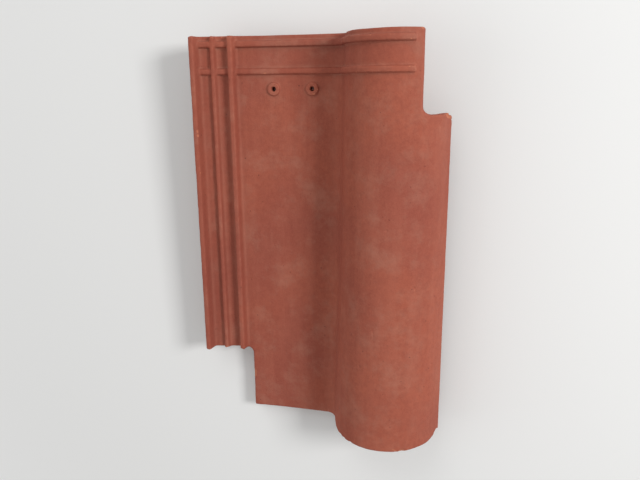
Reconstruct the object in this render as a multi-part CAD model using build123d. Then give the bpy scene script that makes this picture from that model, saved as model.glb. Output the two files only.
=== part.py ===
from build123d import *

import os
from math import acos, asin, atan2, cos, degrees, radians, sin, sqrt, tan

# A fired clay roof tile of the single-roll interlocking kind, pressed as one piece.
# Seen from above with its foot, the lower edge on a roof, nearest: a channelled edge with three upstands
# on the left, a shallow water pan, and a tall round roll on the right that ends in a covering lip.
# The next tile to the right tucks its channelled edge under that roll, and the tile above lays its foot
# over this one's head.
#
# The tile is drawn flat in its own pressing frame, in millimetres: X runs across it from the left edge,
# Y runs up it from the foot, and Z is square to the pan, from the pan's lowest underside.
# At the end it is tipped and moved to where it rests on a level floor, on its two hanging nibs and its
# front drip bar, with the origin below the middle of its box.

# Overall sizes and clay thickness
tile_length = 450.0
tile_width = 285.0
clay_thickness = 11.0

# Water pan: flat beside the roll, and from this distance on rising towards the channelled edge in one
# shallow arc
pan_rise_start = 98.0
pan_rise_radius = 400.0

# Roll: part of a cone whose axis is level, with a plane flank down from each side of it. The radii are the
# outer ones at the foot and at the head, and the valley is the rounding between pan and flank
roll_axis_height = 20.0
roll_radius_foot = 60.0
roll_radius_head = 54.0
flank_angle = 74.0
valley_radius = 14.0
lip_height = 15.0
lip_rounding = 3.5

# Channelled edge: the zone that the neighbour's roll covers, and its upstands, each with
# the centre's distance from the left edge, width at its top, and height
channel_width = 54.0
upstands = [(3.0, 6.0, 12.0), (23.0, 5.0, 6.0), (44.0, 6.0, 10.0)]
upstand_tip_rounding = 2.0
upstand_root_rounding = 3.0

# Upstands, weather bars and collars are rooted this deep in the clay below its upper face, and their
# sides lean in by this angle, in degrees, to leave the mould
root_depth = 4.0
mould_draft = 8.0

# Corners cut away so that no more than two tiles lie on each other where four meet
foot_notch_length = 80.0
head_notch_length = 82.0
head_notch_width = 27.0
notch_corner_radius = 8.0

# Break of the edges where the clay is cut off square, and rounding of those that the mould leaves free
edge_bevel = 1.2
edge_rounding = 1.5

# Weather bars across the head: centre's distance below the head edge, and height
weather_bars = [(9.0, 5.0), (38.0, 4.0)]
weather_bar_tip_width = 6.0
weather_bar_rounding = 1.8
weather_bar_end_gap = 7.0

# Drip bars across the underside of the foot. The front one lies on the pan of the tile below, and the back
# one drops between that tile's weather bars. Each has its front's distance from the foot, width and depth
drip_bars = [(4.0, 10.0, 5.0), (52.0, 8.0, 4.0)]
drip_bar_left = 60.0
drip_bar_right = 152.0

# Hanging nibs under the head, each with a square face towards the foot that bears on the roof batten
nib_bearing_below_head = 45.0
nib_centres_x = [74.0, 150.0]
nib_width = 34.0
nib_root_thickness = 24.0
nib_tip_thickness = 12.0
nib_depth = 20.0
nib_side_draft = 6.0
nib_root_rounding = 3.0

# The drip bars and the nibs have like upright corners and like roundings below, so that the tile stands on
# like edges, and they are rooted this far above the pan's lowest underside
support_corner_radius = 3.0
support_rounding = 2.0
support_root_height = 8.0

# Nail holes over the batten, each through a low collar whose radius is given at its top
nail_hole_radius = 2.75
nail_holes_below_head = 57.0
nail_hole_centres_x = [90.0, 134.0]
collar_radius = 7.0
collar_height = 3.0

flank = radians(flank_angle)
draft_slope = tan(radians(mould_draft))

# Cutters and the roll's own solids run past the tile by this much before they are trimmed, and a point
# this near to a face lies on it
overrun = 20.0
touching = 0.01


def roll_radius_at(y):
    """Outer radius of the roll at a distance y from the foot."""
    return roll_radius_foot + (roll_radius_head - roll_radius_foot) * y / tile_length


def roll_axis_at(y):
    """The point of the roll's axis at y, placed so that the rounded lip keeps to the tile's width."""
    roll_radius = roll_radius_at(y)
    flank_run = (roll_axis_height + roll_radius * cos(flank) - lip_height) / tan(flank)
    rounded_off = lip_rounding * (1 / tan(flank / 2) - 1)
    return Vector(tile_width + rounded_off - roll_radius * sin(flank) - flank_run, y, roll_axis_height)


def roll_frame(y):
    """The plane square to the roll's axis at y, with its own Y upwards."""
    axis = (roll_axis_at(tile_length) - roll_axis_at(0)).normalized()
    return Plane(origin=roll_axis_at(y), x_dir=(axis.Y, -axis.X, 0), z_dir=-axis)


def crown_outline(roll_radius):
    """The roll's round part cut square to its axis, between its two flanks."""
    inner_radius = roll_radius - clay_thickness
    outer = CenterArc((0, 0), roll_radius, 90 - flank_angle, 2 * flank_angle)
    inner = CenterArc((0, 0), inner_radius, 90 - flank_angle, 2 * flank_angle)
    return make_face(Curve() + [outer, Line(outer @ 1, inner @ 1), inner, Line(inner @ 0, outer @ 0)])


def flank_strip(side, outer_offset, inner_offset, bottom):
    """A straight wall along the roll, square to its axis, that follows the roll's narrowing.

    Args:
        side: 1 for the lip's side, -1 for the pan's side
        outer_offset, inner_offset: distances of its two faces inside the roll's outer face
        bottom: height that it is trimmed to
    """
    outward = Vector(side * sin(flank), cos(flank))
    downward = Vector(side * cos(flank), -sin(flank))
    ends = [(y, roll_frame(y), roll_radius_at(y)) for y in (-overrun, tile_length + overrun)]
    tangent_points = [frame.from_local_coords(outward * radius) for y, frame, radius in ends]
    outer = outward * (ends[0][2] - outer_offset)
    inner = outward * (ends[0][2] - inner_offset)
    drop = downward * (roll_axis_height + roll_radius_foot)
    face = ends[0][1] * make_face(Polyline(outer, outer + drop, inner + drop, inner, close=True))
    along = tangent_points[1] - tangent_points[0]
    return trimmed(extrude(face, dir=along, amount=along.length), bottom)


def trimmed(solid, bottom):
    """A solid cut off square at the foot and the head, and below the height bottom."""
    depth = 2 * (roll_axis_height + roll_radius_foot)
    room = Box(3 * tile_width, tile_length, depth, align=(Align.CENTER, Align.MIN, Align.MIN))
    return solid & Pos(0, 0, bottom) * room


def roll():
    """The roll's crown and its two flanks, up to the pan's underside and the lip."""
    ends = (-overrun, tile_length + overrun)
    crown = loft([roll_frame(y) * crown_outline(roll_radius_at(y)) for y in ends], ruled=True)
    pan_flank = flank_strip(-1, 0, clay_thickness, 0)
    lip_flank = flank_strip(1, 0, clay_thickness, lip_height)
    return trimmed(crown, 0) + [pan_flank, lip_flank]


def pan_height(x):
    """Height of the pan's upper face at x."""
    rise_run = max(pan_rise_start - x, 0.0)
    return clay_thickness + pan_rise_radius - sqrt(pan_rise_radius**2 - rise_run**2)


def pan_line(lift, start_x, end_x):
    """The pan's line across, parallel to its upper face and lift above it, as an arc and a level line."""
    radius = pan_rise_radius - lift
    slope = degrees(asin((pan_rise_start - start_x) / radius))
    arc = CenterArc((pan_rise_start, clay_thickness + pan_rise_radius), radius, 270 - slope, slope)
    return [arc, Line(arc @ 1, (end_x, clay_thickness + lift))]


def ridge_outline(tip_width, height):
    """A ridge's tapered outline that stands on the origin and is rooted below it."""
    root_width = tip_width + 2 * (height + root_depth) * draft_slope
    tip = Line((-tip_width / 2, height), (tip_width / 2, height))
    root = Line((root_width / 2, -root_depth), (-root_width / 2, -root_depth))
    return make_face(Curve() + [tip, Line(tip @ 1, root @ 0), root, Line(root @ 1, tip @ 0)])


def channel_corners(section):
    """The corners of a section's channelled edge that lie on the pan's upper face or above it."""
    inner_side = channel_width + root_depth
    return [v for v in section.vertices() if v.X < inner_side and v.Y > pan_height(v.X) - touching]


def pan_section(end_x):
    """The pan and its channelled edge cut straight across, as far as end_x under the roll."""
    upper = pan_line(0, 0, end_x)
    lower = pan_line(-clay_thickness, 0, end_x)
    ends = [Line(upper[0] @ 0, lower[0] @ 0), Line(upper[-1] @ 1, lower[-1] @ 1)]
    section = make_face(Curve() + upper + lower + ends)
    for centre_x, tip_width, height in upstands:
        section += Pos(centre_x, pan_height(centre_x)) * ridge_outline(tip_width, height)
    section &= Pos(end_x / 2, 0) * Rectangle(end_x, tile_width)

    lower_left = section.vertices().sort_by_distance((0, 0, 0))[0]
    section = fillet(lower_left, edge_rounding)
    tips = [v for v in channel_corners(section) if v.Y > pan_height(v.X) + touching]
    section = fillet(tips, upstand_tip_rounding)
    roots = [v for v in channel_corners(section) if abs(v.Y - pan_height(v.X)) < touching]
    return fillet(roots, upstand_root_rounding)


def pan():
    """The pan with its channelled edge, ending at the inner face of the roll's left flank."""
    slab = extrude(Plane.XZ * pan_section(roll_axis_at(0).X), -tile_length)
    under_roll = flank_strip(-1, clay_thickness, 2 * roll_radius_foot, -overrun)
    return slab - under_roll


def long_edges(body, height, left_limit):
    """The edges that run level from foot to head at a height, to the right of left_limit."""
    edges = [edge for edge in body.edges() if edge.length > tile_length / 2 and (edge @ 0).X > left_limit]
    return [edge for edge in edges if all(abs((edge @ end).Z - height) < touching for end in (0, 1))]


def joined_body():
    """Pan and roll as one body, with the valley between them and the lip rounded."""
    flat_pan = pan_rise_start + touching
    body = pan() + roll()
    body = fillet(long_edges(body, clay_thickness, flat_pan), valley_radius)
    body = fillet(long_edges(body, 0, flat_pan), valley_radius + clay_thickness)
    return fillet(long_edges(body, lip_height, roll_axis_at(tile_length).X), lip_rounding)


def corner_notch(corner_x, corner_y, width, length):
    """A cutter for one corner of the tile, with a rounded inner corner.

    Args:
        corner_x, corner_y: the corner that is cut away
        width, length: how far the notch reaches from it, signed towards the tile's middle
    """
    outline = Pos(corner_x, corner_y) * Rectangle(2 * abs(width), 2 * abs(length))
    inner = outline.vertices().sort_by_distance((corner_x + width, corner_y + length, 0))[0]
    outline = fillet(inner, notch_corner_radius)
    return extrude(outline, roll_axis_height + roll_radius_foot + overrun, both=True)


def is_cut_face(face):
    """Whether a face of the notched body is an end or a notch's side, which stand upright."""
    if face.geom_type not in (GeomType.PLANE, GeomType.CYLINDER):
        return False
    middle = face.center()
    return abs(face.normal_at(middle).Z) < touching and middle.X > touching


def notched_body():
    """The body less its channelled corner at the foot and its roll corner at the head, cut edges broken."""
    body = joined_body()
    body -= corner_notch(0, 0, channel_width, foot_notch_length)
    body -= corner_notch(tile_width, tile_length, -head_notch_width, -head_notch_length)
    edges = [edge for face in body.faces() if is_cut_face(face) for edge in face.edges()]
    each_once = {hash(edge): edge for edge in edges}
    return chamfer(list(each_once.values()), edge_bevel)


def upper_line(y):
    """The line of the upper face at y, from the outer upstand to the end of the weather bars on the roll."""
    roll_radius = roll_radius_at(y)
    roll_x = roll_axis_at(y).X
    valley_height = clay_thickness + valley_radius
    reach = roll_radius + valley_radius
    valley_x = roll_x - (reach - (valley_height - roll_axis_height) * cos(flank)) / sin(flank)
    end_x = tile_width - head_notch_width - weather_bar_end_gap
    roll_end = degrees(acos((end_x - roll_x) / roll_radius))

    level = pan_line(0, upstands[0][0], valley_x)
    valley = CenterArc((valley_x, valley_height), valley_radius, 270, flank_angle)
    crown = CenterArc((roll_x, roll_axis_height), roll_radius, 90 + flank_angle, roll_end - 90 - flank_angle)
    return Curve() + [*level, valley, Line(valley @ 1, crown @ 0), crown]


def weather_bar(below_head, height):
    """A bar across the head, from inside the outer upstand over pan and roll to just short of the notch."""
    y = tile_length - below_head
    path = Plane.XZ.offset(-y) * upper_line(y)
    outline = ridge_outline(weather_bar_tip_width, height)
    outline = fillet(outline.vertices().group_by(Axis.Y)[-1], weather_bar_rounding)
    start = Plane(origin=path @ 0, x_dir=(0, 1, 0), z_dir=path % 0)
    bar = sweep(start * outline, path=path)
    end_face = bar.faces().sort_by_distance(path @ 1)[0]
    return fillet(end_face.edges(), edge_rounding)


def drip_bar(front, width, depth):
    """A bar across the underside of the foot, rooted in the clay above it."""
    corner = (Align.MIN, Align.MIN, Align.MIN)
    bar = Box(drip_bar_right - drip_bar_left, width, depth + support_root_height, align=corner)
    bar = fillet(bar.edges().filter_by(Axis.Z), support_corner_radius)
    bar = fillet(bar.faces().sort_by(Axis.Z)[0].edges(), support_rounding)
    return Pos(drip_bar_left, front, -depth) * bar


def nib():
    """A hanging nib, rooted in the clay above it, with its upright bearing face along X at Y = 0.

    It is what its two outlines share, the one seen from the side and the one seen from the foot.
    """
    top = support_root_height
    back_slope = (nib_root_thickness - nib_tip_thickness) / nib_depth
    side_slope = tan(radians(nib_side_draft))
    back_top = nib_root_thickness + back_slope * top
    half_tip = nib_width / 2 - side_slope * nib_depth
    half_top = nib_width / 2 + side_slope * top

    tip = -nib_depth
    from_side = Polyline((0, top), (0, tip), (nib_tip_thickness, tip), (back_top, top), close=True)
    from_foot = Polyline((-half_top, top), (-half_tip, tip), (half_tip, tip), (half_top, top), close=True)
    body = extrude(Plane.YZ * make_face(from_side), half_top, both=True)
    body &= extrude(Plane.XZ * make_face(from_foot), back_top, both=True)
    corners = [edge for edge in body.edges() if abs((edge @ 0).Z - (edge @ 1).Z) > nib_depth]
    body = fillet(corners, support_corner_radius)
    return fillet(body.faces().sort_by(Axis.Z)[0].edges(), support_rounding)


def nail_collar(x, y):
    """The low tapered collar round a nail hole, rooted in the pan."""
    height = root_depth + collar_height
    root_radius = collar_radius + height * draft_slope
    collar = Cone(root_radius, collar_radius, height, align=(Align.CENTER, Align.CENTER, Align.MIN))
    return Pos(x, y, pan_height(x) - root_depth) * collar


def roof_tile():
    """The whole tile in its pressing frame."""
    body = notched_body()

    bearing_y = tile_length - nib_bearing_below_head
    nibs = [Pos(x, bearing_y) * nib() for x in nib_centres_x]
    joined = body + nibs
    body = fillet(new_edges(body, *nibs, combined=joined), nib_root_rounding)

    nails_y = tile_length - nail_holes_below_head
    collars = [nail_collar(x, nails_y) for x in nail_hole_centres_x]
    bars = [weather_bar(*sizes) for sizes in weather_bars] + [drip_bar(*sizes) for sizes in drip_bars]
    body += bars + collars
    hole = Cylinder(nail_hole_radius, 2 * (roll_axis_height + roll_radius_foot))
    return body - [Pos(x, nails_y) * hole for x in nail_hole_centres_x]


def resting(tile):
    """The tile tipped about its foot until nibs and front drip bar stand level, then put over the origin."""
    front, _, depth = drip_bars[0]
    rise = nib_depth - depth
    run = tile_length - nib_bearing_below_head - front
    tipped = Rot(X=degrees(atan2(rise, run))) * tile
    box = tipped.bounding_box()
    return Pos(-box.center().X, -box.center().Y, -box.min.Z) * tipped


os.makedirs("parts", exist_ok=True)
export_step(resting(roof_tile()), "parts/roof_tile.step")
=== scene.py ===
import logging
import math
from dataclasses import dataclass
from enum import Enum

import bmesh
import bpy
import numpy as np
from mathutils import Matrix, Vector


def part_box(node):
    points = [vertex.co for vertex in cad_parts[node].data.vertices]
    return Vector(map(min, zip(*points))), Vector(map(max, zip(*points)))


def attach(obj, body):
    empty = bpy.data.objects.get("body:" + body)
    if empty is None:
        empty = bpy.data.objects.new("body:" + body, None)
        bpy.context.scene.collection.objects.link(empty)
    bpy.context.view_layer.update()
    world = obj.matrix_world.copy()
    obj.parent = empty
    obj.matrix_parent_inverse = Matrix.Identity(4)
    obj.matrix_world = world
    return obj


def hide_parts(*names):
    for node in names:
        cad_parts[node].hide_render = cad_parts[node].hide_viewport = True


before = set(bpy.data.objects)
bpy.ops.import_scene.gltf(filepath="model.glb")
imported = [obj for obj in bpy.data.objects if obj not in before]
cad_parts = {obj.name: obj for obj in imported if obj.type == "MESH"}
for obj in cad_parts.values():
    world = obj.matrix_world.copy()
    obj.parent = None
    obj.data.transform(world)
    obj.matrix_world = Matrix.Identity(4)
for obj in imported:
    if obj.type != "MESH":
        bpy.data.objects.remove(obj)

# A natural red fired clay roof tile, lying on a pale studio floor. The camera looks down on it,
# leaning a little to its roll and its head, with the tile's foot at the bottom of the picture.
# The tile's shape is the CAD solid's own. This script gives it the finish of pressed and fired
# clay: softened and slightly uneven edges, small chips and pits, a faint kiln warp and the clay's
# colour. All lengths are in metres.

log = logging.getLogger("roof_tile")

MILLIMETRE = 0.001
WHITE = (1.0, 1.0, 1.0, 1.0)

# A colour is red, green, blue and alpha, and a span is the two ends of a range.
Socket = bpy.types.NodeSocket
Colour = tuple[float, float, float, float]
Triple = tuple[float, float, float]
Span = tuple[float, float]


class Mark(Enum):
    """The values that the tile's mesh carries for its finish, one for each vertex."""

    EDGE = "edge"
    HOLLOW = "hollow"
    CHIP = "chip"
    SKYWARD = "skyward"
    RUB = "rub"


def points_of(mesh: bpy.types.Mesh) -> np.ndarray:
    """The mesh's vertices.

    Args:
        mesh: the mesh to read

    Returns:
        one row of x, y, z for each vertex
    """
    flat = np.empty(3 * len(mesh.vertices), np.float32)
    mesh.vertices.foreach_get("co", flat)
    return flat.reshape(-1, 3).astype(np.float64)


def normals_of(mesh: bpy.types.Mesh) -> np.ndarray:
    """The mesh's vertex normals.

    Args:
        mesh: the mesh to read

    Returns:
        one row of x, y, z for each vertex
    """
    flat = np.empty(3 * len(mesh.vertices), np.float32)
    mesh.vertex_normals.foreach_get("vector", flat)
    return flat.reshape(-1, 3).astype(np.float64)


def move_points(mesh: bpy.types.Mesh, points: np.ndarray) -> None:
    """Sets a mesh's vertices from one row of x, y, z for each."""
    mesh.vertices.foreach_set("co", points.astype(np.float32).ravel())
    mesh.update()


class Neighbours:
    """Averages values over the edges of a mesh."""

    def __init__(self, mesh: bpy.types.Mesh) -> None:
        """Reads the mesh's edges.

        Args:
            mesh: the mesh whose vertices are averaged
        """
        ends = np.empty(2 * len(mesh.edges), np.int32)
        mesh.edges.foreach_get("vertices", ends)
        self.ends = ends.reshape(-1, 2)
        self.count = np.bincount(ends, minlength=len(mesh.vertices)).astype(np.float64)

    def mean(self, values: np.ndarray) -> np.ndarray:
        """The mean of each vertex's neighbours.

        Args:
            values: one number for each vertex

        Returns:
            as many numbers
        """
        first, second = self.ends.T
        total = np.bincount(first, values[second], len(self.count))
        total += np.bincount(second, values[first], len(self.count))
        return total / np.maximum(self.count, 1)

    def spread(self, values: np.ndarray, times: int) -> np.ndarray:
        """Values blurred over the mesh.

        Args:
            values: one number for each vertex
            times: how many neighbours far they spread

        Returns:
            as many numbers
        """
        for _ in range(times):
            values = (values + self.mean(values)) / 2
        return values

    def spread_points(self, points: np.ndarray, times: int) -> np.ndarray:
        """Rows of x, y, z blurred over the mesh in the same way."""
        return np.stack([self.spread(column, times) for column in points.T], axis=1)


@dataclass(frozen=True)
class Swell:
    """A smooth random field over space, as a sum of plane waves.

    Args:
        length: about how long the waves are
        waves: how many are added
        seed: what its random draws start from
        lengths: the shortest and longest wave, as shares of that length
    """

    length: float
    waves: int
    seed: int
    lengths: Span = (0.7, 1.4)

    def at(self, points: np.ndarray) -> np.ndarray:
        """The field at some points.

        Args:
            points: one row of x, y, z for each point

        Returns:
            one number for each point, mostly between -1 and 1
        """
        draw = np.random.default_rng(self.seed)
        total = np.zeros(len(points))
        for _ in range(self.waves):
            direction = draw.normal(size=3)
            direction /= np.linalg.norm(direction)
            number = math.tau / (self.length * draw.uniform(*self.lengths))
            total += np.sin(points @ direction * number + draw.uniform(0, math.tau))
        return total / math.sqrt(self.waves)


@dataclass(frozen=True)
class Noise:
    """The settings of a noise pattern.

    Args:
        scale: features per metre
        detail: how many finer layers lie on it
        rough: how much each of them weighs beside the one before
    """

    scale: float
    detail: float = 3.0
    rough: float = 0.5


@dataclass(frozen=True)
class Spots:
    """The settings of scattered round spots.

    Args:
        scale: cells per metre, of which each may hold one spot
        share: how many of the cells hold one
        sizes: the least and most radius, as shares of a cell
        smallness: how far the small ones outnumber the large ones
        rim: over which shares of its radius a spot fades in
    """

    scale: float
    share: float
    sizes: Span
    smallness: float = 3.0
    rim: Span = (1.1, 0.6)


class Bench:
    """Adds nodes to a tree, where an input is wired from a socket or set to a constant."""

    def __init__(self, tree: bpy.types.NodeTree) -> None:
        """Takes the tree to work in."""
        self.tree = tree

    def node(
        self, kind: str, inputs: dict[str | int, object], **settings: object
    ) -> bpy.types.Node:
        """Adds one node.

        Args:
            kind: the node's type
            inputs: a socket or a constant for each input's name or number
            settings: the node's own properties

        Returns:
            the new node
        """
        node = self.tree.nodes.new(kind)
        for name, value in settings.items():
            setattr(node, name, value)
        for name, value in inputs.items():
            if isinstance(value, Socket):
                self.tree.links.new(value, node.inputs[name])
            else:
                node.inputs[name].default_value = value
        return node

    def wire(self, source: Socket, target: Socket) -> None:
        """Links a socket to another one."""
        self.tree.links.new(source, target)

    def group(self, tree: bpy.types.NodeTree, **inputs: Socket) -> bpy.types.bpy_prop_collection:
        """The outputs of a node group that is placed and wired here."""
        return self.node("ShaderNodeGroup", inputs, node_tree=tree).outputs

    def place(self) -> Socket:
        """The Object coordinates of the surface."""
        return self.node("ShaderNodeTexCoord", {}).outputs["Object"]

    def attribute(self, name: str) -> Socket:
        """A number that the mesh carries."""
        return self.node("ShaderNodeAttribute", {}, attribute_name=name).outputs["Fac"]

    def reckon(self, operation: str, first: object, second: object) -> Socket:
        """The result of a Math node on two values."""
        return self.node("ShaderNodeMath", {0: first, 1: second}, operation=operation).outputs[0]

    def plus(self, first: object, second: object) -> Socket:
        """The sum of two values."""
        return self.reckon("ADD", first, second)

    def times(self, first: object, second: object) -> Socket:
        """The product of two values."""
        return self.reckon("MULTIPLY", first, second)

    def between(self, value: object, band: Span, top: float = 1.0) -> Socket:
        """A value taken smoothly from 0 at the start of a band to top at its end."""
        inputs = {"Value": value, "From Min": band[0], "From Max": band[1], "To Max": top}
        return self.node("ShaderNodeMapRange", inputs, interpolation_type="SMOOTHSTEP").outputs[0]

    def noise(self, vector: Socket, noise: Noise) -> bpy.types.bpy_prop_collection:
        """Both outputs of a noise pattern on some coordinates.

        Args:
            vector: the coordinates
            noise: the pattern's settings

        Returns:
            Fac and Color, both around 0.5
        """
        inputs = {
            "Vector": vector,
            "Scale": noise.scale,
            "Detail": noise.detail,
            "Roughness": noise.rough,
        }
        return self.node("ShaderNodeTexNoise", inputs).outputs

    def cloud(self, vector: Socket, noise: Noise) -> Socket:
        """Noise around 0.5."""
        return self.noise(vector, noise)["Fac"]

    def stretched(self, vector: Socket, stretch: Triple) -> Socket:
        """Coordinates multiplied by a stretch along each axis."""
        return self.node("ShaderNodeMapping", {"Vector": vector, "Scale": stretch}).outputs[0]

    def shaken(self, vector: Socket, noise: Noise, reach: float) -> Socket:
        """Coordinates shifted by noise, at most by a reach, which roughens a pattern's outlines."""
        inputs = {0: self.noise(vector, noise)["Color"], 1: (reach, reach, reach), 2: vector}
        return self.node("ShaderNodeVectorMath", inputs, operation="MULTIPLY_ADD").outputs[0]

    def spots(self, vector: Socket, spots: Spots) -> Socket:
        """Scattered spots of many sizes, most of them small.

        Args:
            vector: the coordinates
            spots: the settings of the pattern

        Returns:
            1 inside a spot, 0 outside
        """
        inputs = {"Vector": vector, "Scale": spots.scale}
        cells = self.node("ShaderNodeTexVoronoi", inputs).outputs
        draws = self.node("ShaderNodeSeparateColor", {"Color": cells["Color"]}).outputs
        chosen = self.reckon("LESS_THAN", draws["Red"], spots.share)
        least, most = spots.sizes
        size = self.reckon("POWER", draws["Green"], spots.smallness)
        radius = self.plus(self.times(size, most - least), least)
        inside = self.between(self.reckon("DIVIDE", cells["Distance"], radius), spots.rim)
        return self.times(inside, chosen)

    def blend(self, share: object, first: object, second: object) -> Socket:
        """Two colours mixed by a share."""
        mixed = self.node("ShaderNodeMix", {0: share, 6: first, 7: second}, data_type="RGBA")
        return mixed.outputs[2]

    def seen(self) -> Socket:
        """Tells what the camera sees directly, in a reflection or through glass.

        Returns:
            1 for such rays, 0 for the others
        """
        rays = self.node("ShaderNodeLightPath", {}).outputs
        mirrored = self.reckon("MAXIMUM", rays["Is Glossy Ray"], rays["Is Transmission Ray"])
        return self.reckon("MAXIMUM", rays["Is Camera Ray"], mirrored)


class GroupMaker(Bench):
    """A new node group, which takes coordinates and some numbers and gives other numbers."""

    def __init__(self, name: str, numbers: tuple[str, ...], results: tuple[str, ...]) -> None:
        """Makes the group and its sockets.

        Args:
            name: the group's name
            numbers: the names of its inputs, beside Vector
            results: the names of its outputs
        """
        super().__init__(bpy.data.node_groups.new(name, "ShaderNodeTree"))
        sockets = self.tree.interface
        sockets.new_socket("Vector", in_out="INPUT", socket_type="NodeSocketVector")
        for number in numbers:
            sockets.new_socket(number, in_out="INPUT", socket_type="NodeSocketFloat")
        for result in results:
            sockets.new_socket(result, in_out="OUTPUT", socket_type="NodeSocketFloat")
        self.given = self.tree.nodes.new("NodeGroupInput").outputs
        self.results = self.tree.nodes.new("NodeGroupOutput").inputs

    def give(self, **sockets: Socket) -> bpy.types.NodeTree:
        """Wires the group's outputs.

        Args:
            sockets: what each output gives

        Returns:
            the finished group
        """
        for name, socket in sockets.items():
            self.wire(socket, self.results[name])
        return self.tree


@dataclass(frozen=True)
class ClayGrain:
    """The sandy surface of fired clay, with pinholes and dark specks.

    Args:
        fine, coarse, lumps: noise for the sand's fine grains, its coarse ones and its soft lumps
        fine_share, coarse_share, lump_share: how much of the relief each of them makes
        grit_band: sum of fine and coarse noise where a grain starts to look paler, and is palest
        pits, specks: the pinholes and the dark specks
        pit_depth: depth of a pinhole beside that relief
        shake, shake_reach: noise that roughens the outlines of both, and the most it moves them
    """

    fine: Noise = Noise(1300.0, 3.0, 0.7)
    coarse: Noise = Noise(420.0, 6.0, 0.72)
    lumps: Noise = Noise(150.0, 3.0, 0.5)
    fine_share: float = 0.45
    coarse_share: float = 1.1
    lump_share: float = 0.7
    grit_band: Span = (0.7, 1.3)
    pits: Spots = Spots(150.0, 0.12, (0.04, 0.17))
    specks: Spots = Spots(260.0, 0.10, (0.05, 0.26))
    pit_depth: float = 0.9
    shake: Noise = Noise(840.0)
    shake_reach: float = 1.3 * MILLIMETRE

    def group(self) -> bpy.types.NodeTree:
        """Builds the effect's node group.

        Returns:
            a group that gives Height, Grit for the sand's paler grains, Pit and Speck
        """
        maker = GroupMaker("clay_grain", (), ("Height", "Grit", "Pit", "Speck"))
        vector = maker.given["Vector"]
        fine = maker.cloud(vector, self.fine)
        coarse = maker.cloud(vector, self.coarse)
        lumps = maker.cloud(vector, self.lumps)
        sand = maker.times(fine, self.fine_share)
        sand = maker.plus(sand, maker.times(coarse, self.coarse_share))
        sand = maker.plus(sand, maker.times(lumps, self.lump_share))
        outlines = maker.shaken(vector, self.shake, self.shake_reach)
        pit = maker.spots(outlines, self.pits)
        return maker.give(
            Height=maker.reckon("SUBTRACT", sand, maker.times(pit, self.pit_depth)),
            Grit=maker.between(maker.plus(fine, coarse), self.grit_band),
            Pit=pit,
            Speck=maker.spots(outlines, self.specks),
        )


@dataclass(frozen=True)
class ClayFiring:
    """The uneven colour that pressing and firing leave.

    Args:
        patches, patch_band: noise for broad patches, and its levels between which they come in
        streaks, streak_band: the same for faint marks along the tile
        streak_stretch: how their noise is drawn out along each axis
        mottling, mottling_band: the same for the clay's own mottling
    """

    patches: Noise = Noise(9.0, 2.0, 0.45)
    patch_band: Span = (0.3, 0.7)
    streaks: Noise = Noise(60.0, 5.0, 0.6)
    streak_band: Span = (0.38, 0.66)
    streak_stretch: Triple = (1.0, 0.12, 1.0)
    mottling: Noise = Noise(150.0, 5.0, 0.7)
    mottling_band: Span = (0.3, 0.7)

    def group(self) -> bpy.types.NodeTree:
        """Builds the effect's node group.

        Returns:
            a group that gives Cloud for the patches, Streak, and Body for the mottling
        """
        maker = GroupMaker("clay_firing", (), ("Cloud", "Streak", "Body"))
        vector = maker.given["Vector"]
        along = maker.stretched(vector, self.streak_stretch)
        return maker.give(
            Cloud=maker.between(maker.cloud(vector, self.patches), self.patch_band),
            Streak=maker.between(maker.cloud(along, self.streaks), self.streak_band),
            Body=maker.between(maker.cloud(vector, self.mottling), self.mottling_band),
        )


@dataclass(frozen=True)
class EdgeWearAndHighlight:
    """Rubbed edges, broken up by noise: paler where the clay is worn, and along every raised edge a
    painted highlight as well.

    Args:
        gaps, gap_band: the noise, and its levels between which the wear comes in
        wear_band: levels of what is left between which it shows
    """

    gaps: Noise = Noise(140.0, 4.0, 0.65)
    gap_band: Span = (0.3, 0.62)
    wear_band: Span = (0.12, 0.75)

    def group(self) -> bpy.types.NodeTree:
        """Builds the effect's node group.

        Returns:
            a group that gives Mask from the Edge value
        """
        maker = GroupMaker("edge_wear_and_highlight", ("Edge",), ("Mask",))
        kept = maker.between(maker.cloud(maker.given["Vector"], self.gaps), self.gap_band)
        ragged = maker.times(maker.given["Edge"], kept)
        return maker.give(Mask=maker.between(ragged, self.wear_band))


@dataclass(frozen=True)
class SettledDust:
    """Pale dust in hollows, on what faces up, and in the rub marks on the crown.

    Args:
        patches: noise that breaks the dust into patches
        lying_band, lying_level: its levels between which dust lies on what faces up, and how much
        caught_band: the same levels for dust caught in hollows
        rubbed_band, rubbed_level: both for the rub marks
        scuffs, scuff_band: noise that breaks those marks up, and the levels between which they show
        scuff_stretch: how that noise is drawn out along each axis
    """

    patches: Noise = Noise(30.0, 6.0, 0.68)
    lying_band: Span = (0.44, 0.72)
    lying_level: float = 0.38
    caught_band: Span = (0.25, 0.6)
    rubbed_band: Span = (0.42, 0.62)
    rubbed_level: float = 0.45
    scuffs: Noise = Noise(450.0, 5.0, 0.75)
    scuff_band: Span = (0.48, 0.66)
    scuff_stretch: Triple = (1.0, 0.36, 1.0)

    def group(self) -> bpy.types.NodeTree:
        """Builds the effect's node group.

        Returns:
            a group that gives Mask from the Hollow, Skyward and Rub values
        """
        maker = GroupMaker("settled_dust", ("Hollow", "Skyward", "Rub"), ("Mask",))
        given = maker.given
        patch = maker.cloud(given["Vector"], self.patches)
        lying = maker.between(patch, self.lying_band, self.lying_level)
        lying = maker.times(given["Skyward"], lying)
        caught = maker.times(given["Hollow"], maker.between(patch, self.caught_band))
        along = maker.stretched(given["Vector"], self.scuff_stretch)
        scuff = maker.between(maker.cloud(along, self.scuffs), self.scuff_band)
        rubbed = maker.between(patch, self.rubbed_band, self.rubbed_level)
        rubbed = maker.times(maker.times(given["Rub"], rubbed), scuff)
        settled = maker.reckon("MAXIMUM", lying, caught)
        return maker.give(Mask=maker.reckon("MAXIMUM", settled, rubbed))


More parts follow.
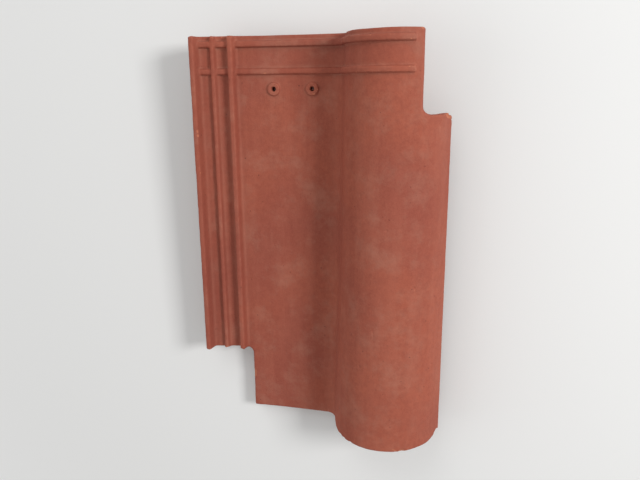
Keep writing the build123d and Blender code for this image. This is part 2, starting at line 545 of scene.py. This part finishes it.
@dataclass(frozen=True)
class FiredClay:
    """The finish of natural red fired clay, unglazed and matte.

    Args:
        grain, firing, wear, settled: the effects that it is mixed from
        red, dusky: the clay's mean colour, and its duller patches
        deep, pale: its darker mottling and the painted shade in its pits, and its paler streaks and
            grains
        rubbed, broken: worn edges, paler as wear and as a painted highlight, and the fresh clay
            inside a chip
        dust, iron: settled dust, and dark specks
        mottled, streaked, gritty: how strongly the mottling, streaks and grains show in the colour
        worn, dusty, specked, pit_shade: the same for worn edges and their painted highlight, dust,
            specks, and the painted shade in pits
        break_grit, break_band: how much the grain roughens a chip's outline, and where it comes in
        roughness: mean roughness
        streak_gloss, dust_matt: how much smoother a streak is, and how much rougher dust
        sheen_level: strength of the faint surface reflection
        grain_height: depth of the sandy grain
        streak_height: how far a streak stands up, beside the grain
    """

    grain: ClayGrain = ClayGrain()
    firing: ClayFiring = ClayFiring()
    wear_and_highlight: EdgeWearAndHighlight = EdgeWearAndHighlight()
    settled: SettledDust = SettledDust()
    red: Colour = (0.358, 0.090, 0.052, 1.0)
    dusky: Colour = (0.285, 0.070, 0.046, 1.0)
    deep: Colour = (0.212, 0.047, 0.031, 1.0)
    pale: Colour = (0.425, 0.128, 0.078, 1.0)
    rubbed: Colour = (0.460, 0.158, 0.098, 1.0)
    broken: Colour = (0.475, 0.152, 0.083, 1.0)
    dust: Colour = (0.500, 0.300, 0.215, 1.0)
    iron: Colour = (0.075, 0.028, 0.022, 1.0)
    mottled: float = 0.42
    streaked: float = 0.22
    gritty: float = 0.26
    worn: float = 0.6
    dusty: float = 0.45
    specked: float = 0.6
    pit_shade: float = 0.5
    break_grit: float = 0.5
    break_band: Span = (0.62, 0.92)
    roughness: float = 0.86
    streak_gloss: float = 0.08
    dust_matt: float = 0.08
    sheen_level: float = 0.25
    grain_height: float = 0.38 * MILLIMETRE
    streak_height: float = 0.3

    def material(self) -> bpy.types.Material:
        """Builds the material from the clay's effects.

        Returns:
            a material that reads Object coordinates and the mesh's own marks
        """
        material = bpy.data.materials.new("fired_clay_finish")
        material.use_nodes = True
        bench = Bench(material.node_tree)
        shader = material.node_tree.nodes["Principled BSDF"].inputs
        shader["Specular IOR Level"].default_value = self.sheen_level
        place = bench.place()
        marks = {mark: bench.attribute(mark.value) for mark in Mark}
        grain = bench.group(self.grain.group(), Vector=place)
        firing = bench.group(self.firing.group(), Vector=place)
        wear_and_highlight = bench.group(self.wear_and_highlight.group(), Vector=place, Edge=marks[Mark.EDGE])
        dust = bench.group(
            self.settled.group(),
            Vector=place,
            Hollow=marks[Mark.HOLLOW],
            Skyward=marks[Mark.SKYWARD],
            Rub=marks[Mark.RUB],
        )

        ragged = bench.plus(marks[Mark.CHIP], bench.times(grain["Grit"], self.break_grit))
        layers = (
            (bench.times(firing["Body"], self.mottled), self.deep),
            (bench.times(firing["Streak"], self.streaked), self.pale),
            (bench.times(grain["Grit"], self.gritty), self.pale),
            # raised edges painted paler: worn clay, and a painted highlight along every edge
            (bench.times(wear_and_highlight["Mask"], self.worn), self.rubbed),
            (bench.between(ragged, self.break_band), self.broken),
            (bench.times(dust["Mask"], self.dusty), self.dust),
            (bench.times(grain["Speck"], self.specked), self.iron),
            # pinholes painted darker: painted shade inside them, beside the relief that the bump
            # gives
            (bench.times(grain["Pit"], self.pit_shade), self.deep),
        )
        colour = bench.blend(firing["Cloud"], self.dusky, self.red)
        for share, tint in layers:
            colour = bench.blend(share, colour, tint)
        bench.wire(colour, shader["Base Color"])

        rough = bench.plus(bench.times(firing["Streak"], -self.streak_gloss), self.roughness)
        rough = bench.plus(rough, bench.times(dust["Mask"], self.dust_matt))
        bench.wire(rough, shader["Roughness"])

        height = bench.plus(grain["Height"], bench.times(firing["Streak"], self.streak_height))
        relief = {"Height": height, "Distance": self.grain_height, "Strength": 1.0}
        bench.wire(bench.node("ShaderNodeBump", relief).outputs["Normal"], shader["Normal"])
        return material


@dataclass(frozen=True)
class Breakage:
    """One kind of break, which knocks shallow bowls out of the clay as shell-like chips leave it.

    Args:
        count: how many there are
        bite: the least and most depth of a bowl below the point that it starts from
        reach: the least and most of half its width where it leaves a flat face
        fresh: how much of the clay's fresh inside it bares
        smallness: how far the small ones outnumber the large ones
        lean: how far a bowl leans away from straight out
        outer: how far out it takes points, as a share of its reach
        deepest: how far in it takes them, as a share of its depth
        ending: how steeply it ends at its outer limit
        skin: share of its depth from which the clay is all fresh
    """

    count: int
    bite: Span
    reach: Span
    fresh: float = 1.0
    smallness: int = 2
    lean: float = 0.25
    outer: float = 1.5
    deepest: float = 1.3
    ending: float = 3.0
    skin: float = 0.4

    def size(self, sizes: Span, draw: np.random.Generator) -> float:
        """A random size between two, more often small than large."""
        return sizes[0] + (sizes[1] - sizes[0]) * draw.uniform() ** self.smallness

    def strike(
        self, points: np.ndarray, normals: np.ndarray, sites: np.ndarray, draw: np.random.Generator
    ) -> np.ndarray:
        """Knocks one bowl out of the clay at a random site.

        Args:
            points: the mesh's points, changed in place
            normals: their normals
            sites: the numbers of the points that the bowl may start from
            draw: what the random values come from

        Returns:
            how fresh the clay is at each point, from 0 to 1
        """
        start = draw.choice(sites)
        depth = self.size(self.bite, draw)
        radius = self.size(self.reach, draw)
        outward = normals[start] + draw.normal(scale=self.lean, size=3)
        outward /= np.linalg.norm(outward)
        return self.fresh * self.scoop(points, points[start], outward, depth, radius)

    def scoop(
        self,
        points: np.ndarray,
        place: np.ndarray,
        outward: np.ndarray,
        depth: float,
        radius: float,
    ) -> np.ndarray:
        """Presses the points near a place onto a shallow bowl.

        Args:
            points: the mesh's points, changed in place
            place: the point that the bowl starts from
            outward: the side that it opens to
            depth: how deep it goes below the place
            radius: half its width where it leaves a flat face

        Returns:
            how far each point lies inside the break, from 0 to 1
        """
        ball = (radius**2 + depth**2) / (2 * depth)
        away = points - (place + outward * (ball - depth))
        distance = np.linalg.norm(away, axis=1)
        bite = ball - distance
        reach = np.linalg.norm(points - place, axis=1) / (self.outer * radius)
        hit = (bite > 0) & (bite < self.deepest * depth) & (reach < 1)
        fade = np.clip(self.ending * (1 - reach[hit]), 0, 1)
        points[hit] += away[hit] * (bite[hit] * fade / distance[hit])[:, None]
        bitten = np.zeros(len(points))
        bitten[hit] = np.clip(bite[hit] * fade / (self.skin * depth), 0, 1)
        return bitten


@dataclass
class RoofTile:
    """The tile itself, fired, a little worn and dusty.

    Args:
        node, body, slot: its names in the CAD model, of which slot is not used
        clay: its finish
        merge_gap: corners of the solid's mesh this near are one
        grid: the size of the fine mesh's quads
        triangles: what the fine mesh is thinned to
        edge_softness, face_softness: how many quads far edges and level faces are blurred
        edge_steps, edge_relief: how many quads round a point it is compared with, and how far an
            edge stands out of them
        flat_relief, flat_limit: how far a level face may stand out of them, and the multiple of
            that from which nothing is blurred
        flat_blur: how many quads far that limit is smoothed
        warp, warp_waves: height and run of the kiln's slight warping
        unevenness, unevenness_waves: the same for the pressed faces
        edge_loss, edge_loss_waves: how much of a sharp edge has crumbled, and how that varies
        edge_loss_most: the most that edge_loss is multiplied by
        chips: the chips on the tile's outer edges
        lip_chips: those along the roll's lip alone
        nicks: small nicks, which ribs and collars have too
        pits: pits in the faces
        break_seed: what their random draws start from
        broad_steps, hollow_relief: how many quads round a point tell an outer edge from one
            beside a rib or collar, and how far a point lies below them where it is in a hollow
        hollow_margin, hollow_trace: how many quads far a hollow keeps large chips away, and the
            share of it that still does
        lip_width, lip_sharpness: how much of the tile's width the lip takes, and how sharp it is
        break_roughness, break_waves: height and run of the unevenness inside a break
        rim_blur, rim_strength: how far and how strongly the rims of the breaks are evened out
        wear_steps, wear_height, wear_blur: how many quads round a point tell where edges are worn
            and painted paler as a highlight, how far it stands out of them where that is full, and
            how far that is blurred
        dust_steps, dust_depth, dust_blur: the same for the hollows that hold dust
        crown_height, crown_fade: height above which the crown is rubbed, and over what it begins
        crown_narrowness: how closely the rubbing keeps to what faces straight up
    """

    node: str = "roof_tile"
    body: str = "root"
    slot: str = "fired_clay"
    clay: FiredClay = FiredClay()
    merge_gap: float = 0.01 * MILLIMETRE
    grid: float = 0.9 * MILLIMETRE
    triangles: int = 190_000
    edge_softness: int = 1
    face_softness: int = 12
    edge_steps: int = 6
    edge_relief: float = 0.25 * grid
    flat_relief: float = 0.1 * grid
    flat_limit: float = 1.5
    flat_blur: int = 2
    warp: float = 0.35 * MILLIMETRE
    warp_waves: Swell = Swell(0.35, 4, seed=7)
    unevenness: float = 0.10 * MILLIMETRE
    unevenness_waves: Swell = Swell(0.040, 9, seed=8)
    edge_loss: float = 0.22 * MILLIMETRE
    edge_loss_waves: Swell = Swell(0.009, 12, seed=9)
    edge_loss_most: float = 1.4
    chips: Breakage = Breakage(
        60, (0.4 * MILLIMETRE, 1.4 * MILLIMETRE), (1.8 * MILLIMETRE, 6.5 * MILLIMETRE)
    )
    lip_chips: Breakage = Breakage(
        24, (0.7 * MILLIMETRE, 2.0 * MILLIMETRE), (1.8 * MILLIMETRE, 6.5 * MILLIMETRE)
    )
    nicks: Breakage = Breakage(
        70, (0.25 * MILLIMETRE, 0.6 * MILLIMETRE), (1.0 * MILLIMETRE, 2.0 * MILLIMETRE)
    )
    pits: Breakage = Breakage(
        40, (0.25 * MILLIMETRE, 0.6 * MILLIMETRE), (1.4 * MILLIMETRE, 2.4 * MILLIMETRE), fresh=0.0
    )
    break_seed: int = 10
    broad_steps: int = 20
    hollow_relief: float = 0.4 * grid
    hollow_margin: int = 60
    hollow_trace: float = 0.001
    lip_width: float = 4.0 * MILLIMETRE
    lip_sharpness: float = 0.7
    break_roughness: float = 0.12 * MILLIMETRE
    break_waves: Swell = Swell(3.0 * MILLIMETRE, 10, seed=11)
    rim_blur: int = 2
    rim_strength: float = 2.0
    wear_steps: int = 4
    wear_height: float = 0.35 * MILLIMETRE
    wear_blur: int = 1
    dust_steps: int = 14
    dust_depth: float = 0.9 * MILLIMETRE
    dust_blur: int = 3
    crown_height: float = 0.070
    crown_fade: float = 0.010
    crown_narrowness: int = 40

    def build(self) -> bpy.types.Object:
        """Makes the tile, dresses it and sets it in the frame.

        Returns:
            the finished tile
        """
        tile = self.fine_copy()
        self.soften(tile.data)
        self.fire(tile.data)
        self.break_edges(tile.data)
        self.thin(tile)
        self.mark(tile.data)
        tile.data.materials.clear()
        tile.data.materials.append(self.clay.material())
        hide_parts(self.node)
        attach(tile, self.body)
        triangles = sum(len(face.vertices) - 2 for face in tile.data.polygons)
        log.info("%s: %d triangles", tile.name, triangles)
        return tile

    def fine_copy(self) -> bpy.types.Object:
        """A copy of the CAD solid's mesh, closed and made again from small even quads.

        Returns:
            the new object, in the scene
        """
        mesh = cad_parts[self.node].data.copy()
        copy = bmesh.new()
        copy.from_mesh(mesh)
        bmesh.ops.remove_doubles(copy, verts=copy.verts, dist=self.merge_gap)
        copy.to_mesh(mesh)
        copy.free()
        tile = bpy.data.objects.new("clay_roof_tile", mesh)
        bpy.context.scene.collection.objects.link(tile)
        remesh = tile.modifiers.new("grid", "REMESH")
        remesh.mode = "VOXEL"
        remesh.voxel_size = self.grid
        self.settle(tile)
        return tile

    def settle(self, tile: bpy.types.Object) -> None:
        """Applies the tile's modifiers to its mesh and shades it smooth.

        Args:
            tile: the tile, which gets a new mesh
        """
        view = bpy.context.evaluated_depsgraph_get()
        done = bpy.data.meshes.new_from_object(tile.evaluated_get(view))
        tile.modifiers.clear()
        tile.data = done
        done.shade_smooth()

    def convexity(self, mesh: bpy.types.Mesh, near: Neighbours, steps: int) -> np.ndarray:
        """How far each vertex stands out of its surroundings, along its normal.

        Args:
            mesh: the tile's mesh
            near: the mesh's neighbours
            steps: how many neighbours far the surroundings reach

        Returns:
            a length for each vertex, below zero in a hollow
        """
        points = points_of(mesh)
        around = near.spread_points(points, steps)
        return np.einsum("ij,ij->i", points - around, normals_of(mesh))

    def soften(self, mesh: bpy.types.Mesh) -> None:
        """Rounds off what the mould leaves sharp, and takes the facets out of the round faces.

        Args:
            mesh: the tile's mesh, changed in place
        """
        near = Neighbours(mesh)
        points = near.spread_points(points_of(mesh), self.edge_softness)
        relief = np.abs(self.convexity(mesh, near, self.edge_steps)) / self.flat_relief
        level = near.spread(np.clip(self.flat_limit - relief, 0, 1), self.flat_blur)[:, None]
        points += level * (near.spread_points(points, self.face_softness) - points)
        move_points(mesh, points)

    def fire(self, mesh: bpy.types.Mesh) -> None:
        """Gives the tile the slight warp of the kiln and the unevenness of its pressed faces.

        Args:
            mesh: the tile's mesh, changed in place and kept in the solid's box
        """
        points = points_of(mesh)
        normals = normals_of(mesh)
        low, high = (np.array(corner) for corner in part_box(self.node))
        middle = (low + high) / 2
        half_length = (high - low).max() / 2
        inside = np.clip(1 - np.abs(points - middle).max(axis=1) / half_length, 0, 1)
        points[:, 2] -= self.warp * inside * (1 + self.warp_waves.at(points))
        points += normals * (self.unevenness * self.unevenness_waves.at(points))[:, None]
        move_points(mesh, np.clip(points, low, high))

    def break_edges(self, mesh: bpy.types.Mesh) -> None:
        """Crumbles the sharp edges a little and knocks chips and pits out of the clay.

        Args:
            mesh: the tile's mesh, changed in place and marked where the clay is fresh
        """
        near = Neighbours(mesh)
        points = points_of(mesh)
        normals = normals_of(mesh)
        relief = self.convexity(mesh, near, self.edge_steps) / self.edge_relief
        sharp = np.clip(relief, 0, 1)
        crumbled = np.clip(0.5 + 0.5 * self.edge_loss_waves.at(points), 0, self.edge_loss_most)
        points -= normals * (self.edge_loss * sharp * crumbled)[:, None]

        around = self.convexity(mesh, near, self.broad_steps)
        level = np.abs(around) < self.flat_relief
        edges = sharp >= 1
        hollows = near.spread((around < -self.hollow_relief).astype(float), self.hollow_margin)
        free = edges & (hollows < self.hollow_trace)
        across = points[:, 0]
        lip = (sharp > self.lip_sharpness) & (across > across.max() - self.lip_width)
        kinds = ((self.chips, free), (self.lip_chips, lip), (self.nicks, edges), (self.pits, level))
        sites = [(kind, np.flatnonzero(chosen)) for kind, chosen in kinds]
        draw = np.random.default_rng(self.break_seed)
        broken = np.zeros(len(points))
        for kind, choices in sites:
            for _ in range(kind.count):
                broken = np.maximum(broken, kind.strike(points, normals, choices, draw))

        rough = self.break_waves.at(points)
        points -= normals * (self.break_roughness * broken * rough)[:, None]
        rims = np.clip(self.rim_strength * near.spread(broken, self.rim_blur), 0, 1)[:, None]
        points += rims * (near.spread_points(points, 1) - points)
        move_points(mesh, points)
        self.store(mesh, Mark.CHIP, near.spread(broken, 1))

    def thin(self, tile: bpy.types.Object) -> None:
        """Thins the mesh where it is flattest.

        Args:
            tile: the tile, still in quads of two triangles each
        """
        thinned = tile.modifiers.new("thinned", "DECIMATE")
        thinned.ratio = min(1.0, self.triangles / (2 * len(tile.data.polygons)))
        self.settle(tile)

    def mark(self, mesh: bpy.types.Mesh) -> None:
        """Stores where the clay has edges and hollows, where it faces up and where it is rubbed.

        Args:
            mesh: the tile's mesh, which gets the marks
        """
        near = Neighbours(mesh)
        standing = near.spread(self.convexity(mesh, near, self.wear_steps), self.wear_blur)
        sunken = -near.spread(self.convexity(mesh, near, self.dust_steps), self.dust_blur)
        upward = np.clip(normals_of(mesh)[:, 2], 0, 1)
        crown = np.clip((points_of(mesh)[:, 2] - self.crown_height) / self.crown_fade, 0, 1)
        # the edge mark paints raised edges paler, as wear and as a painted highlight
        self.store(mesh, Mark.EDGE, np.clip(standing / self.wear_height, 0, 1))
        self.store(mesh, Mark.HOLLOW, np.clip(sunken / self.dust_depth, 0, 1))
        self.store(mesh, Mark.SKYWARD, upward)
        self.store(mesh, Mark.RUB, crown * upward**self.crown_narrowness)

    def store(self, mesh: bpy.types.Mesh, mark: Mark, values: np.ndarray) -> None:
        """Writes one of the tile's marks to its mesh, a number for each vertex."""
        attribute = mesh.attributes.new(mark.value, "FLOAT", "POINT")
        attribute.data.foreach_set("value", values.astype(np.float32))


@dataclass(frozen=True)
class FloorPaint:
    """The floor's matte paint, which far from the tile looks as the surround does.

    Args:
        colour, roughness: the paint's own
        fade: distances from the middle where it starts to fade into the surround, and where it has
    """

    colour: Colour = (0.80, 0.80, 0.79, 1.0)
    roughness: float = 0.9
    fade: Span = (0.38, 1.20)

    def material(self, backdrop: float) -> bpy.types.Material:
        """Builds the paint.

        Args:
            backdrop: level of the surround where it is seen

        Returns:
            the new material
        """
        material = bpy.data.materials.new("floor_paint")
        material.use_nodes = True
        bench = Bench(material.node_tree)
        paint = material.node_tree.nodes["Principled BSDF"]
        paint.inputs["Base Color"].default_value = self.colour
        paint.inputs["Roughness"].default_value = self.roughness
        away = bench.node("ShaderNodeVectorMath", {0: bench.place()}, operation="LENGTH")
        share = bench.times(bench.between(away.outputs["Value"], self.fade), bench.seen())
        glow = bench.node("ShaderNodeEmission", {"Strength": backdrop}).outputs[0]
        look = bench.node("ShaderNodeMixShader", {0: share, 1: paint.outputs[0], 2: glow})
        surface = material.node_tree.nodes["Material Output"].inputs["Surface"]
        bench.wire(look.outputs[0], surface)
        return material


@dataclass(frozen=True)
class Lamp:
    """A soft square lamp.

    Args:
        name: its name
        to_roll, to_head: how far it leans to those sides of straight above, in degrees
        power: its power in watts
        side: how long its sides are
    """

    name: str
    to_roll: float
    to_head: float
    power: float
    side: float


@dataclass
class Studio:
    """The pale floor, the soft lights and the camera.

    Args:
        floor_size: side of the square floor
        paint: its finish
        sky_strength: level of the even light from all round
        backdrop: level of the surround where it is seen
        lamps, lamp_distance: the soft lamps, and how far they are from the aim
        focal_length, sensor_width: the camera's lens and sensor, in millimetres
        lean_to_roll, lean_to_head: how far it leans to those sides of straight above, in degrees
        distance: how far it is from the aim
        aim: the point that the lamps and the camera face
    """

    floor_size: float = 12.0
    paint: FloorPaint = FloorPaint()
    sky_strength: float = 0.45
    backdrop: float = 0.78
    lamps: tuple[Lamp, ...] = (
        Lamp("key", 52.0, 22.0, 36.0, 0.6),
        Lamp("fill", -50.0, -10.0, 7.0, 1.6),
        Lamp("back", -15.0, 50.0, 9.0, 1.2),
    )
    lamp_distance: float = 2.4
    focal_length: float = 34.2
    sensor_width: float = 36.0
    lean_to_roll: float = 14.0
    lean_to_head: float = 13.0
    distance: float = 0.70
    aim: Triple = (0.0, 0.0, 0.03)

    def build(self) -> None:
        """Sets up the floor, the lights and the camera."""
        self.lay_floor()
        self.light()
        self.aim_camera()
        bpy.context.scene.view_settings.view_transform = "Standard"
        log.info("studio: floor, %d lamps and camera", len(self.lamps))

    def lay_floor(self) -> None:
        """A plain matte floor that the tile rests on."""
        shape = bmesh.new()
        bmesh.ops.create_grid(shape, x_segments=1, y_segments=1, size=self.floor_size / 2)
        mesh = bpy.data.meshes.new("floor")
        shape.to_mesh(mesh)
        shape.free()
        floor = bpy.data.objects.new("floor", mesh)
        bpy.context.scene.collection.objects.link(floor)
        floor.data.materials.append(self.paint.material(self.backdrop))

    def light(self) -> None:
        """An even white surround and the soft lamps."""
        world = bpy.data.worlds.new("surround")
        world.use_nodes = True
        bench = Bench(world.node_tree)
        levels = {"Value": bench.seen(), "To Min": self.sky_strength, "To Max": self.backdrop}
        strength = bench.node("ShaderNodeMapRange", levels).outputs["Result"]
        surround = world.node_tree.nodes["Background"].inputs
        surround["Color"].default_value = WHITE
        bench.wire(strength, surround["Strength"])
        bpy.context.scene.world = world
        for lamp in self.lamps:
            data = bpy.data.lights.new(lamp.name, "AREA")
            data.energy = lamp.power
            data.size = lamp.side
            thing = bpy.data.objects.new(lamp.name, data)
            self.stand(thing, lamp.to_roll, lamp.to_head, self.lamp_distance)

    def aim_camera(self) -> None:
        """The camera, looking down on the tile with its length running up the picture."""
        data = bpy.data.cameras.new("camera")
        data.lens = self.focal_length
        data.sensor_width = self.sensor_width
        camera = bpy.data.objects.new("camera", data)
        self.stand(camera, self.lean_to_roll, self.lean_to_head, self.distance)
        bpy.context.scene.camera = camera

    def stand(
        self, thing: bpy.types.Object, to_roll: float, to_head: float, distance: float
    ) -> None:
        """Puts a lamp or the camera above the tile, facing the aim, its top towards the head.

        Args:
            thing: the lamp or camera
            to_roll, to_head: how far it leans to those sides of straight above, in degrees
            distance: how far it is from the aim
        """
        lean = (math.tan(math.radians(to_roll)), math.tan(math.radians(to_head)), 1)
        back = Vector(lean).normalized()
        side = Vector((0, 1, 0)).cross(back).normalized()
        turn = Matrix((side, back.cross(side), back)).transposed()
        place = Vector(self.aim) + distance * back
        thing.matrix_world = Matrix.Translation(place) @ turn.to_4x4()
        bpy.context.scene.collection.objects.link(thing)


def main() -> None:
    """Builds the tile and the studio; building the tile notes how many triangles it has."""
    logging.basicConfig(level=logging.INFO)
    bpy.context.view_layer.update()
    RoofTile().build()
    Studio().build()
    bpy.context.view_layer.update()


if __name__ == "__main__":
    main()
